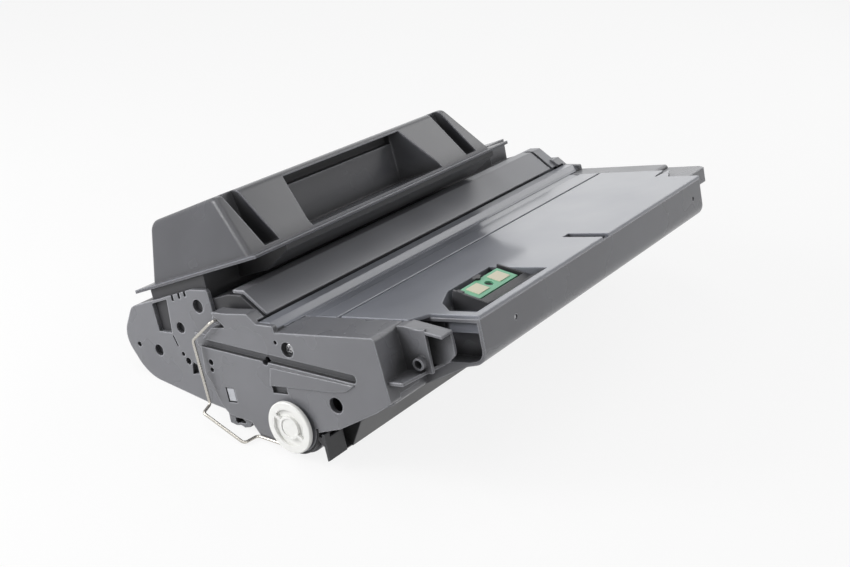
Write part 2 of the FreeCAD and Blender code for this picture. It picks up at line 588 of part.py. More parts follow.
housing_corners = [
    (17.6, 61.2), (31.9, 73.6, 1), (42.0, 74.2, 3), (SPLIT_Y, 70.6), (SPLIT_Y, -1.6), (40.0, -4.6, 6),
    (30.0, -9.4, 3), (21.5, -10.2, 1.2), (17.4, 18.0),
]
floor_slope = math.tan(math.radians(TIP_ANGLE))
floor_drop = -FOOT_DEPTH / math.cos(math.radians(TIP_ANGLE))
hopper_corners = [
    (SPLIT_Y, floor_drop + floor_slope * SPLIT_Y + 1.4), (82.0, floor_drop + floor_slope * 82.0, 4),
    (133.0, floor_drop + floor_slope * 133.0, 28), (146.8, 45.0, 16), (132.0, 65.0, 10), (112.0, 68.9, 1),
    (112.0, 75.9), (SPLIT_Y, 86.7),
]
SLEEVE_BUSH_R = 6.5


def developer_housing():
    shell = prism(housing_corners, HOUSING_X0, HOUSING_X1)
    space = inner_prism(housing_corners, WALL, HOUSING_X0 + WALL, HOUSING_X1 - WALL)
    throat = block(HOUSING_X0 + WALL, HOUSING_X1 - WALL, SPLIT_Y - 5, SPLIT_Y + 1, 4.0, 64.0)
    mouth = block(DRUM_X0, DRUM_X1 - 6, 10.0, 24.0, -7.6, 15.0)
    bush_holes = rod(SLEEVE_Y, SLEEVE_Z, SLEEVE_BUSH_R, HOUSING_X0 - 1, HOUSING_X1 + 1)
    return cut(shell, space, throat, mouth, bush_holes)


nodes["developer_housing"] = developer_housing()
bush = ring(SLEEVE_Y, SLEEVE_Z, SLEEVE_BUSH_R, SLEEVE_SHAFT_R + RUN_GAP, HOUSING_X0, HOUSING_X0 + 4.0)
nodes["sleeve_bush_left"] = bush
nodes["sleeve_bush_right"] = bush.translated(Vec(HOUSING_X1 - HOUSING_X0 - 4.0, 0, 0))
SLEEVE_X0 = DRUM_X0 + 3.0
SLEEVE_X1 = DRUM_X1 - 9.0
sleeve = fuse(rod(SLEEVE_Y, SLEEVE_Z, SLEEVE_R, SLEEVE_X0, SLEEVE_X1),
              rod(SLEEVE_Y, SLEEVE_Z, SLEEVE_SHAFT_R, HOUSING_X0 + 0.3, GEAR_X0))
sleeve = cut(sleeve, rod(SLEEVE_Y, SLEEVE_Z, SLEEVE_R - 0.9, SLEEVE_X0 + 3, SLEEVE_X1 - 3),
             rod(SLEEVE_Y, SLEEVE_Z, CORE_R + RUN_GAP, 0, SLEEVE_X0 + 4))
nodes["magnetic_sleeve"] = sleeve
nodes["magnet_core"] = fuse(rod(SLEEVE_Y, SLEEVE_Z, SLEEVE_R - 1.7, SLEEVE_X0 + 3.4, SLEEVE_X1 - 3.4),
                            rod(SLEEVE_Y, SLEEVE_Z, CORE_R, COVER_RIM + 0.3, SLEEVE_X0 + 3.4))
nodes["sleeve_gear"] = fuse(gear(SLEEVE_Y, SLEEVE_Z, SLEEVE_TEETH, sleeve_phase, GEAR_X0, GEAR_X1, 1.0),
                            rod(SLEEVE_Y, SLEEVE_Z, 2.0, GEAR_X0, GEAR_X1))
nodes["doctor_bracket"] = block(DRUM_X0, DRUM_X1 - 6, 19.8, 21.4, 22.0, 42.0)
nodes["doctor_blade"] = block(DRUM_X0, DRUM_X1 - 6, 21.4, 22.8, 15.7, 34.0)


# Hopper, its left end cap and the gear cover

def hopper():
    shell = fuse(prism(hopper_corners, HOUSING_X0, HOUSING_X1), prism(throat_corners, THROAT_X0, THROAT_X1))
    space = inner_prism(hopper_corners, WALL, HOUSING_X0 + WALL, HOUSING_X1 - WALL)
    throat_space = inner_prism(throat_corners, WALL, THROAT_X0 + WALL, THROAT_X1 - WALL)
    gate = block(HOUSING_X0 + WALL, HOUSING_X1 - WALL, SPLIT_Y - 1, SPLIT_Y + 5, 4.0, 64.0)
    open_top = block(THROAT_X0 + WALL, THROAT_X1 - WALL, SPLIT_Y + 4, 102.0, 70.0, 100.0)
    lift = Vec(0, 0, 2 * WALL)
    shaft_hole = rod(AGITATOR_Y, AGITATOR_Z, SHAFT_R + RUN_GAP, HOUSING_X0 - 1, HOUSING_X1 + 1)
    return cut(shell, space, throat_space, throat_space.translated(lift), open_top, gate, shaft_hole)


GRIP_FRONT_Y = 15.5
GRIP_FRONT_Z = 98.1
GRIP_BACK_Y = 107.9
GRIP_BACK_Z = 79.0


def flange_z(y):
    slope = (GRIP_BACK_Z - GRIP_FRONT_Z) / (GRIP_BACK_Y - GRIP_FRONT_Y)
    return GRIP_FRONT_Z + slope * (y - GRIP_FRONT_Y)


THROAT_X0 = 40.0
THROAT_X1 = GRIP_X1 + 1.0
throat_corners = [(SPLIT_Y + 4, flange_z(SPLIT_Y + 4) - FLANGE_T), (14.0, flange_z(14.0) - FLANGE_T),
                  (14.0, flange_z(14.0) - FLANGE_T - 3.8), (34.0, 80.0, 3), (SPLIT_Y + 4, 74.5)]
hopper_corners[-2] = (112.0, flange_z(112.0) - FLANGE_T)
hopper_corners[-1] = (SPLIT_Y, flange_z(SPLIT_Y) - FLANGE_T)
nodes["toner_hopper"] = hopper()
nodes["idler_post"] = rod(IDLER_Y, IDLER_Z, SHAFT_R, HOUSING_X1, GEAR_X1 + 1.0)

cap_corners = [
    (46.0, -4.0, 2), (SPLIT_Y, floor_drop + floor_slope * SPLIT_Y + 1.4),
    (82.0, floor_drop + floor_slope * 82.0, 4), (133.0, floor_drop + floor_slope * 133.0, 28),
    (146.8, 45.0, 16), (132.0, 65.0, 10), (108.0, 69.8, 2), (72.0, 77.4, 3), (57.0, 77.4, 2),
    (56.0, 59.0), (46.0, 53.0),
]
CAP_X0 = COVER_RIM + 0.2


def hopper_cap():
    """End plate with its screw holes, its window and three slots at the top, all right through."""
    cap = prism(cap_corners, CAP_X0, HOUSING_X0)
    depth = HOUSING_X0 + 1
    tools = [
        rod(68.2, 67.0, 4.3, 0, depth), rod(89.2, 52.4, 3.6, 0, depth), rod(115.7, 36.1, 3.8, 0, depth),
        rod(133.8, 39.3, 1.8, 0, depth), rod(90.0, 30.2, 2.3, 0, depth), rod(93.2, 34.8, 1.4, 0, depth),
        prism([(110.8, 67.4, 0.6), (95.6, 70.8, 0.6), (98.5, 48.6, 0.6), (110.4, 49.2, 0.6)], 0, depth),
        prism([(98.8, 46.6), (96.6, 39.6), (95.6, 40.0), (97.8, 47.0)], 0, depth),
        prism([(87.2, 27.6), (85.6, 29.8), (82.6, 28.0), (82.8, 22.4), (88.8, 21.6)], 0, depth),
    ]
    for y in (89.8, 83.3, 77.6):
        tools.append(block(0, depth, y - 1.0, y + 1.0, 69.8 + (89.8 - y) * 0.26, 80.0))
    return cut(cap, *tools)


nodes["hopper_end_cap"] = hopper_cap()


def gear_cover():
    outer = fuse(prism(housing_corners, HOUSING_X1, GEAR_COVER_X1),
                 prism(hopper_corners, HOUSING_X1, GEAR_COVER_X1))
    inner = fuse(inner_prism(housing_corners, WALL, HOUSING_X1 - 1, GEAR_COVER_X1 - WALL),
                 inner_prism(hopper_corners, WALL, HOUSING_X1 - 1, GEAR_COVER_X1 - WALL),
                 block(HOUSING_X1 - 1, GEAR_COVER_X1 - WALL, SPLIT_Y - 5, SPLIT_Y + 5, 1.5, 66.0))
    mesh_gap = block(HOUSING_X1 - 1, GEAR_COVER_X1 - WALL, 10.0, 24.0, -7.6, 15.0)
    shaft_hole = rod(AGITATOR_Y, AGITATOR_Z, SHAFT_R + RUN_GAP, GEAR_X1, GEAR_COVER_X1 + 1)
    gears = ((SLEEVE_Y, SLEEVE_Z, sleeve_gear_r), (IDLER_Y, IDLER_Z, idler_gear_r),
             (AGITATOR_Y, AGITATOR_Z, agitator_gear_r))
    tooth_room = GEAR_MODULE + GEAR_ROOM
    sweeps = [rod(y, z, r + tooth_room, HOUSING_X1 - 1, GEAR_X1 + GEAR_ROOM) for y, z, r in gears]
    return cut(outer, inner, mesh_gap, shaft_hole, *sweeps)


nodes["gear_cover"] = gear_cover()
nodes["idler_gear"] = gear(IDLER_Y, IDLER_Z, IDLER_TEETH, idler_phase, GEAR_X0, GEAR_X1, SHAFT_R + RUN_GAP)
nodes["agitator_gear"] = gear(AGITATOR_Y, AGITATOR_Z, AGITATOR_TEETH, agitator_phase,
                              GEAR_X0, GEAR_X1, SHAFT_R)

ARM_R = 22.0
ARM_T = 4.0
SHEET_REACH = 4.0
SHEET_T = 0.5
ARM_X0 = HOUSING_X0 + 18.0
ARM_X1 = HOUSING_X1 - 18.4
arms = [block(x, x + ARM_T, AGITATOR_Y - ARM_T / 2, AGITATOR_Y + ARM_R, AGITATOR_Z - ARM_T / 2,
              AGITATOR_Z + ARM_T / 2) for x in (ARM_X0, (ARM_X0 + ARM_X1 - ARM_T) / 2, ARM_X1 - ARM_T)]
rail = block(ARM_X0, ARM_X1, AGITATOR_Y + ARM_R - ARM_T, AGITATOR_Y + ARM_R, AGITATOR_Z - ARM_T / 2,
             AGITATOR_Z + ARM_T / 2)
axle = rod(AGITATOR_Y, AGITATOR_Z, SHAFT_R, HOUSING_X0 + 0.3, GEAR_COVER_X1)
nodes["agitator_shaft"] = fuse(axle, rail, *arms)
sheet_z = AGITATOR_Z + ARM_T / 2
nodes["agitator_sheet"] = block(ARM_X0 + 6.0, ARM_X1 - 6.0, AGITATOR_Y + ARM_R - 3.5,
                                AGITATOR_Y + ARM_R + SHEET_REACH, sheet_z, sheet_z + SHEET_T)


# Hand grip cover

grip_corners = [(GRIP_FRONT_Y, GRIP_FRONT_Z), (44.0, 131.0, 6), (106.3, 116.7, 8), (GRIP_BACK_Y, GRIP_BACK_Z)]
RECESS_X0 = 67.8
RECESS_X1 = GRIP_X1 - 58.0
RECESS_Y = 46.5
RECESS_DRAFT = 12.0
LIP_Z = 128.0
UNDERCUT_Z = 120.5
UNDERCUT_Y = 53.0
SLOTS = ((26.4, 38.8), (GRIP_X1 - 27.0, GRIP_X1 - 15.0))
SLOT_DEPTH_Y = 40.0


def end_wedge(x_foot, x_top, x_far):
    """Cutter for a drafted end face, swept along the flange's slope."""
    y0 = GRIP_FRONT_Y - 12
    z0 = flange_z(y0)
    rise = 33.0
    lean = (x_top - x_foot) / rise
    corners = [(x_foot - lean * 10, z0 - 10), (x_foot + lean * 60, z0 + 60), (x_far, z0 + 60),
               (x_far, z0 - 10)]
    face = Part.Face(Part.makePolygon([Vec(c[0], y0, c[1]) for c in corners + corners[:1]]))
    sweep = GRIP_BACK_Y + 20 - y0
    return face.extrude(Vec(0, sweep, flange_z(y0 + sweep) - z0))


def grip_block(inset):
    """The grip's outer form, or its inside when inset by the wall."""
    if inset > 0:
        body = inner_prism(grip_corners, inset, GRIP_X0 + inset, GRIP_X1 - inset)
        body = fuse(body, body.translated(Vec(0, 0, -2 * inset)))
    else:
        body = prism(grip_corners, GRIP_X0, GRIP_X1)
    left = end_wedge(GRIP_X0 + inset, GRIP_X0 + GRIP_DRAFT + inset, GRIP_X0 - 60)
    right = end_wedge(GRIP_X1 - inset, GRIP_X1 - GRIP_DRAFT - inset, GRIP_X1 + 60)
    body = cut(body, left, right)
    if inset > 0:
        return body
    ends = []
    for edge in body.Edges:
        box = edge.BoundBox
        near_left = box.XMax < GRIP_X0 + GRIP_DRAFT + 2
        near_right = box.XMin > GRIP_X1 - GRIP_DRAFT - 2
        if (near_left or near_right) and box.ZMax > GRIP_BACK_Z + 20 and box.ZLength > 4:
            ends.append(edge)
    return body.makeFillet(GRIP_EDGE_R, ends)


def grip_cutters(grow):
    """The finger recess with its undercut behind the lip, and the two slots; grown for the walls round them."""
    foot_z = 1.2 - grow
    back = RECESS_Y + grow
    section = prism([(0, flange_z(0) + foot_z), (back, flange_z(RECESS_Y) + foot_z), (back + 2, LIP_Z + grow),
                     (0, LIP_Z + grow)], RECESS_X0 - grow, RECESS_X1 + grow)
    x0 = RECESS_X0 - grow
    x1 = RECESS_X1 + grow
    footprint = plan([(x0, 0), (x0, 20), (x0 + RECESS_DRAFT, back + 3), (x1 - RECESS_DRAFT, back + 3), (x1, 20),
                      (x1, 0)], 0, LIP_Z + 20)
    undercut = prism([(RECESS_Y - 1, LIP_Z + grow), (RECESS_Y - 1, UNDERCUT_Z - grow),
                      (UNDERCUT_Y + grow, UNDERCUT_Z - grow), (UNDERCUT_Y + grow, LIP_Z - 1.4 + grow)],
                     x0 + RECESS_DRAFT, x1 - RECESS_DRAFT)
    cutters = [section.common(footprint), undercut]
    for x0, x1 in SLOTS:
        slot = prism([(0, flange_z(0) + 2.0 - grow),
                      (SLOT_DEPTH_Y + grow, flange_z(SLOT_DEPTH_Y) + 2.0 - grow),
                      (SLOT_DEPTH_Y + 14 + grow, 150.0), (0, 150.0)], x0 - grow, x1 + grow)
        cutters.append(slot)
    return cutters


def handle_cover():
    outer = grip_block(0)
    inside = cut(grip_block(GRIP_WALL), *grip_cutters(GRIP_WALL))
    flange = prism([(FLANGE_Y0, flange_z(FLANGE_Y0)), (FLANGE_Y1, flange_z(FLANGE_Y1)),
                    (FLANGE_Y1, flange_z(FLANGE_Y1) - FLANGE_T), (FLANGE_Y0, flange_z(FLANGE_Y0) - FLANGE_T)],
                   FLANGE_X0, FLANGE_X1)
    body = cut(outer, *grip_cutters(0))
    return cut(fuse(body, flange), inside)


nodes["handle_cover"] = handle_cover()


# Sloped panel beside the exposure slot

panel_corners = [(15.6, 62.2), (31.2, 76.0, 1.4), (40.0, 76.2), (40.0, 74.2), (31.9, 73.8, 0.6), (17.3, 61.3)]
panel = fuse(prism(panel_corners, PANEL_X0, PANEL_X1), prism(panel_corners, PANEL_X1 + 3.4, PANEL_END_X),
             prism([(24.0, 68.0), (31.2, 74.0), (40.0, 76.2), (40.0, 74.2), (31.9, 73.8, 0.6), (24.6, 67.5)],
                   PANEL_X1 - 1, PANEL_X1 + 4))
nodes["sloped_panel"] = panel
panel_room = Part.Face(outline(panel_corners, LENGTH - COVER_RIM - 1)).makeOffset2D(SEAT_GAP)
panel_room = panel_room.extrude(Vec(PANEL_END_X + SEAT_GAP - LENGTH + COVER_RIM + 1, 0, 0))
nodes["right_side_cover"] = nodes["right_side_cover"].cut(panel_room)


# Drum shutter

SHUTTER_X1 = DRUM_X1 + 3.0
band_start = math.degrees(math.atan2(HOOK_Z, HOOK_Y))


def shutter_end():
    band = sector(LOBE_R + 0.3, BAND_R, band_start, -176.0, 0.2, LOBE_STEP - 0.3)
    eye = rod(HOOK_Y, HOOK_Z, EYE_R, 0.2, LOBE_STEP - 0.3)
    web = prism([(-17.0, -6.0), (-17.0, -8.5), (-20.2, -12.0), (-20.2, -15.0), (-22.0, -15.0),
                 (-22.0, -4.2), (-20.2, -4.2), (-20.2, -6.0)], 0.2, LOBE_STEP - 0.3)
    bridge = prism([(-20.3, -7.0), (-20.3, -21.0), (-22.0, -20.4), (-22.0, -7.0)], 0.2, SHUTTER_X0 + 6)
    hole = rod(HOOK_Y, HOOK_Z, WIRE_R + RUN_GAP, -1, LOBE_STEP)
    return fuse(band, eye, web, bridge).cut(hole)


def drum_shutter():
    curve = sector(SHUTTER_R, SHUTTER_R + SHUTTER_T, -45.0, -150.0, SHUTTER_X0, SHUTTER_X1)
    foot = thick_line(-12.2, -14.5, -20.4, -20.6, SHUTTER_T, SHUTTER_X0, SHUTTER_X1)
    face = thick_line(-20.2, -20.9, -31.0, -4.4, SHUTTER_T, 22.0, SHUTTER_X1 - 6)
    ribs = [prism([(-13.5, -13.1), (-20.4, -20.6), (-30.6, -4.8), (-22.0, -7.0)], x, x + 1.4)
            for x in (22.0, SHUTTER_X1 - 7.4)]
    right_arm = mirrored(shutter_end())
    reach_bar = prism([(-20.3, -12.0), (-20.3, -21.0), (-22.0, -20.4), (-22.0, -12.0)], SHUTTER_X1 - 6,
                      LENGTH - SHUTTER_X0)
    return fuse(curve, foot, face, shutter_end(), right_arm, reach_bar, *ribs)


nodes["drum_shutter"] = drum_shutter()


# Shutter links: one bent steel wire at each end

def wire_path(points, radii):
    """Round wire through the points, each inner corner bent to its radius."""
    pieces = []
    start = points[0]
    for i in range(1, len(points) - 1):
        radius = radii[i - 1]
        before = points[i - 1] - points[i]
        after = points[i + 1] - points[i]
        half = before.getAngle(after) / 2
        reach = radius / math.tan(half)
        before.normalize()
        after.normalize()
        bisector = before + after
        bisector.normalize()
        centre = points[i] + bisector * (radius / math.sin(half))
        bend_start = points[i] + before * reach
        run = bend_start - start
        pieces.append(Part.makeCylinder(WIRE_R, run.Length, start, run))
        section = Part.Face(Part.Wire([Part.Circle(bend_start, run, WIRE_R).toShape()]))
        turn = 180 - 2 * math.degrees(half)
        pieces.append(section.revolve(centre, after.cross(before), turn))
        start = points[i] + after * reach
    run = points[-1] - start
    pieces.append(Part.makeCylinder(WIRE_R, run.Length, start, run))
    return fuse(*pieces)


link_points = [
    Vec(COVER_RIM - 1.0, LINK_Y, LINK_Z), Vec(LINK_X, LINK_Y, LINK_Z), Vec(LINK_X, 64.2, 50.5),
    Vec(LINK_X, 63.6, 9.2), Vec(JOG_X, 61.8, 7.2), Vec(JOG_X, 32.4, -9.4), Vec(HOOK_X, 31.6, -9.6),
    Vec(HOOK_X, 14.0, -12.6), Vec(HOOK_X, HOOK_Y, HOOK_Z), Vec(LOBE_STEP - 0.6, HOOK_Y, HOOK_Z),
]
nodes["shutter_link_left"] = wire_path(link_points, (2.5, 3.0, 2.5, 2.5, 2.5, 2.5, 2.0, 1.2))
nodes["shutter_link_right"] = mirrored(nodes["shutter_link_left"])


# Lens, feet and screws

nodes["toner_window"] = block(0.4, 1.6, LENS_Y - 3.2, LENS_Y + 2.6, LENS_Z - 4.0, LENS_Z + 4.0)


def cover_screw():
    shank = rod(SCREW_Y, SCREW_Z, SCREW_R, 2.6, COVER_RIM + 2.0)
    head = rod(SCREW_Y, SCREW_Z, SCREW_HEAD_R, 0.4, 2.6)
    cross = fuse(block(-0.5, 1.6, SCREW_Y - 2.0, SCREW_Y + 2.0, SCREW_Z - 0.45, SCREW_Z + 0.45),
                 block(-0.5, 1.6, SCREW_Y - 0.45, SCREW_Y + 0.45, SCREW_Z - 2.0, SCREW_Z + 2.0))
    return shank.fuse(head).cut(cross)


nodes["cover_screws"] = Part.Compound([cover_screw(), mirrored(cover_screw())])
front_screws = []
for x in FRONT_SCREWS:
    shank = Part.makeCylinder(1.4, 6.0, Vec(x, PLATFORM_Y0 + 0.6, FRONT_SCREW_Z), Vec(0, 1, 0))
    front_screws.append(shank)
nodes["front_screws"] = Part.Compound(front_screws)


# Attitude on the table and files

def stand(shape):
    placed = shape.copy()
    placed.rotate(Vec(0, 0, 0), Vec(1, 0, 0), -TIP_ANGLE)
    return placed


placed_nodes = {name: stand(shape) for name, shape in nodes.items()}
overall = Part.Compound(list(placed_nodes.values())).optimalBoundingBox(False, False)
shift = Vec(-(overall.XMin + overall.XMax) / 2, -(overall.YMin + overall.YMax) / 2, -overall.ZMin)

os.makedirs("parts", exist_ok=True)
for name, shape in placed_nodes.items():
    shape.translate(shift)
    shape.exportStep("parts/" + name + ".step")
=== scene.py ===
import json
import math

import bpy
from mathutils import Matrix, Vector


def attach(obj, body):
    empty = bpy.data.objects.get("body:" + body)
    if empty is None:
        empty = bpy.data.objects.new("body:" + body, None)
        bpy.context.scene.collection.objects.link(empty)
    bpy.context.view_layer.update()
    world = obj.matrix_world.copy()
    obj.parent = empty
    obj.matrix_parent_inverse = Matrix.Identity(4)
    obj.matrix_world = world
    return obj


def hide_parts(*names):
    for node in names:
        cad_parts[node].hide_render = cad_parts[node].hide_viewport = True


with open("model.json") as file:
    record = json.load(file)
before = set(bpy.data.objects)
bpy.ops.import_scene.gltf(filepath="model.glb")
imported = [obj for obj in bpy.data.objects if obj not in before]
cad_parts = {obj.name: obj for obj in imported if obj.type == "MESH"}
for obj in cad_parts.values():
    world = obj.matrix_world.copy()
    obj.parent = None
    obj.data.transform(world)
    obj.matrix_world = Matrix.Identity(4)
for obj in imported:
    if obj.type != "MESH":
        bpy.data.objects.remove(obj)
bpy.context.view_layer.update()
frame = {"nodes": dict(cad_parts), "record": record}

# Lengths are metres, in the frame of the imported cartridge: X along the drum,
# Y towards the hand grip, Z up.

# Camera: the photograph's place, 50 mm lens on a 36 mm wide sensor
CAMERA_AT = (-0.6070, -0.4113, 0.3892)
CAMERA_AZIMUTH = 55.15
CAMERA_ELEVATION = -25.69
CAMERA_ROLL = 2.37
LENS_MM = 50.0
SENSOR_MM = 36.0
CLIP_NEAR = 0.02
CLIP_FAR = 20.0

camera_data = bpy.data.cameras.new("camera")
camera_data.lens = LENS_MM
camera_data.sensor_width = SENSOR_MM
camera_data.clip_start = CLIP_NEAR
camera_data.clip_end = CLIP_FAR
camera = bpy.data.objects.new("camera", camera_data)
bpy.context.scene.collection.objects.link(camera)
turn = (Matrix.Rotation(math.radians(-CAMERA_AZIMUTH), 4, "Z")
        @ Matrix.Rotation(math.radians(90 + CAMERA_ELEVATION), 4, "X")
        @ Matrix.Rotation(math.radians(CAMERA_ROLL), 4, "Z"))
camera.matrix_world = Matrix.Translation(CAMERA_AT) @ turn
bpy.context.scene.camera = camera


# Materials

SHADE_SAMPLES = 4
# Painted highlight: edges eased by the Bevel node are drawn paler in the colour
EDGE_FLAT = 0.985  # cosine between eased and true normal at which an edge starts to pale
EDGE_SHARP = 0.80  # and at which it is palest
# Painted shade: recesses of a piece are darkened in its colour through an ambient-occlusion mask
RECESS_REACH = 0.013
RECESS_DEEP = 0.55  # openness at which a recess is darkest
RECESS_OPEN = 0.97  # and at which a face counts as open
# share of the colour left in the deepest recess, as painted shade
RECESS_SHADE = 0.15
RECESS_ROUGHNESS = 0.75
CLOUD_PERIOD = 0.05
CLOUD_SPAN = (0.35, 0.65)
SHEEN_SPAN = (0.3, 0.7)
STREAK_PERIOD = 0.0008


class Surface:
    """A procedural material built around one Principled BSDF."""

    def __init__(self, name, color, roughness, metallic=0.0):
        self.name = name
        self.material = bpy.data.materials.new(name)
        self.material.use_nodes = True
        self.nodes = self.material.node_tree.nodes
        self.links = self.material.node_tree.links
        self.shader = self.nodes["Principled BSDF"]
        self.shader.inputs["Base Color"].default_value = (*color, 1.0)
        self.shader.inputs["Roughness"].default_value = roughness
        self.shader.inputs["Metallic"].default_value = metallic
        self.coordinates = self.nodes.new("ShaderNodeTexCoord").outputs["Object"]
        self.bevel = None

    def noise(self, period, detail=2.0, stretch=(1.0, 1.0, 1.0)):
        """Soft noise whose grain is about one period across, in metres."""
        mapping = self.nodes.new("ShaderNodeMapping")
        mapping.inputs["Scale"].default_value = stretch
        self.links.new(self.coordinates, mapping.inputs["Vector"])
        texture = self.nodes.new("ShaderNodeTexNoise")
        texture.inputs["Scale"].default_value = 1.0 / period
        texture.inputs["Detail"].default_value = detail
        self.links.new(mapping.outputs["Vector"], texture.inputs["Vector"])
        return texture.outputs["Fac"]

    def ramp(self, factor, low, high, value_low, value_high):
        """The factor's low to high range carried over to two values."""
        node = self.nodes.new("ShaderNodeMapRange")
        node.inputs["From Min"].default_value = low
        node.inputs["From Max"].default_value = high
        node.inputs["To Min"].default_value = value_low
        node.inputs["To Max"].default_value = value_high
        self.links.new(factor, node.inputs["Value"])
        return node.outputs["Result"]

    def mix_color(self, factor, first, second):
        """First at factor 0, second at factor 1; each is a colour or a socket."""
        node = self.nodes.new("ShaderNodeMix")
        node.data_type = "RGBA"
        sockets = [socket for socket in node.inputs if socket.type == "RGBA"]
        for socket, color in zip(sockets, (first, second)):
            if isinstance(color, tuple):
                socket.default_value = (*color, 1.0)
            else:
                self.links.new(color, socket)
        self.links.new(factor, node.inputs[0])
        return [socket for socket in node.outputs if socket.type == "RGBA"][0]

    def mix_value(self, factor, value, socket):
        """The value at factor 0, the socket at factor 1."""
        node = self.nodes.new("ShaderNodeMix")
        node.data_type = "FLOAT"
        numbers = [entry for entry in node.inputs if entry.type == "VALUE"]
        self.links.new(factor, numbers[0])
        numbers[1].default_value = value
        self.links.new(socket, numbers[2])
        return [entry for entry in node.outputs if entry.type == "VALUE"][0]

    def eased_normal(self, radius):
        """The normal over edges eased by the radius, from one Bevel node."""
        if self.bevel is None:
            self.bevel = self.nodes.new("ShaderNodeBevel")
            self.bevel.samples = SHADE_SAMPLES
            self.bevel.inputs["Radius"].default_value = radius
        return self.bevel.outputs["Normal"]

    def edge_share(self, radius):
        """1 on an edge eased by the radius, 0 on the flats."""
        dot = self.nodes.new("ShaderNodeVectorMath")
        dot.operation = "DOT_PRODUCT"
        self.links.new(self.eased_normal(radius), dot.inputs[0])
        self.links.new(self.nodes.new("ShaderNodeNewGeometry").outputs["Normal"], dot.inputs[1])
        return self.ramp(dot.outputs["Value"], EDGE_FLAT, EDGE_SHARP, 0, 1)

    def open_share(self, distance):
        """0 deep in a recess of the piece, 1 on its open faces; it masks the painted shade in
        recesses.
        """
        shade = self.nodes.new("ShaderNodeAmbientOcclusion")
        shade.samples = SHADE_SAMPLES
        shade.only_local = True
        shade.inputs["Distance"].default_value = distance
        return self.ramp(shade.outputs["AO"], RECESS_DEEP, RECESS_OPEN, 0, 1)

    def color_from(self, socket):
        self.links.new(socket, self.shader.inputs["Base Color"])

    def roughness_from(self, socket):
        self.links.new(socket, self.shader.inputs["Roughness"])

    def relief(self, socket, height, edge_radius=0.0):
        """Bump from a factor, over edges eased by the given radius."""
        bump = self.nodes.new("ShaderNodeBump")
        bump.inputs["Distance"].default_value = height
        bump.inputs["Strength"].default_value = 1.0
        self.links.new(socket, bump.inputs["Height"])
        if edge_radius > 0:
            self.links.new(self.eased_normal(edge_radius), bump.inputs["Normal"])
        self.links.new(bump.outputs["Normal"], self.shader.inputs["Normal"])


def moulded(name, color, roughness, grain=0.0006, height=0.00002, edge=0.0008, cloud=0.16,
            edge_highlight=1.0):
    """Injection-moulded plastic: fine spark-eroded grain and faint cloudy shading.

    Its paler edges are a painted highlight, for light caught on rounded edges; the last
    argument sets how much paler they are than the flats. Above 1, the recesses also get
    painted shade, darker than the open faces.
    """
    surface = Surface(name, color, roughness)
    fine = surface.noise(grain, 3.0)
    broad = surface.noise(CLOUD_PERIOD, 3.0)
    dark = tuple(c * (1 - cloud) for c in color)
    light = tuple(min(1.0, c * (1 + cloud)) for c in color)
    body = surface.mix_color(surface.ramp(broad, *CLOUD_SPAN, 0, 1), dark, light)
    sheen = surface.ramp(broad, *SHEEN_SPAN, roughness - 0.05, roughness + 0.06)
    if edge_highlight > 1:
        # Painted highlight: the eased edges take a paler colour, for light caught on rounded
        # edges
        pale = tuple(c * edge_highlight for c in color)
        # Painted shade: the colour darkens deep in the piece's own recesses
        shade = tuple(c * RECESS_SHADE for c in color)
        opened = surface.open_share(RECESS_REACH)
        body = surface.mix_color(surface.edge_share(edge), body, pale)
        body = surface.mix_color(opened, shade, body)
        sheen = surface.mix_value(opened, RECESS_ROUGHNESS, sheen)
    surface.color_from(body)
    surface.roughness_from(sheen)
    surface.relief(fine, height, edge)
    return surface


def metal(name, color, roughness, stretch, edge=0.0003, height=0.00001):
    """Drawn or rolled metal with fine streaks along its length."""
    surface = Surface(name, color, roughness, 1.0)
    streaks = surface.noise(STREAK_PERIOD, 2.0, stretch)
    surface.roughness_from(surface.ramp(streaks, *SHEEN_SPAN, roughness - 0.06, roughness + 0.08))
    surface.relief(streaks, height, edge)
    return surface


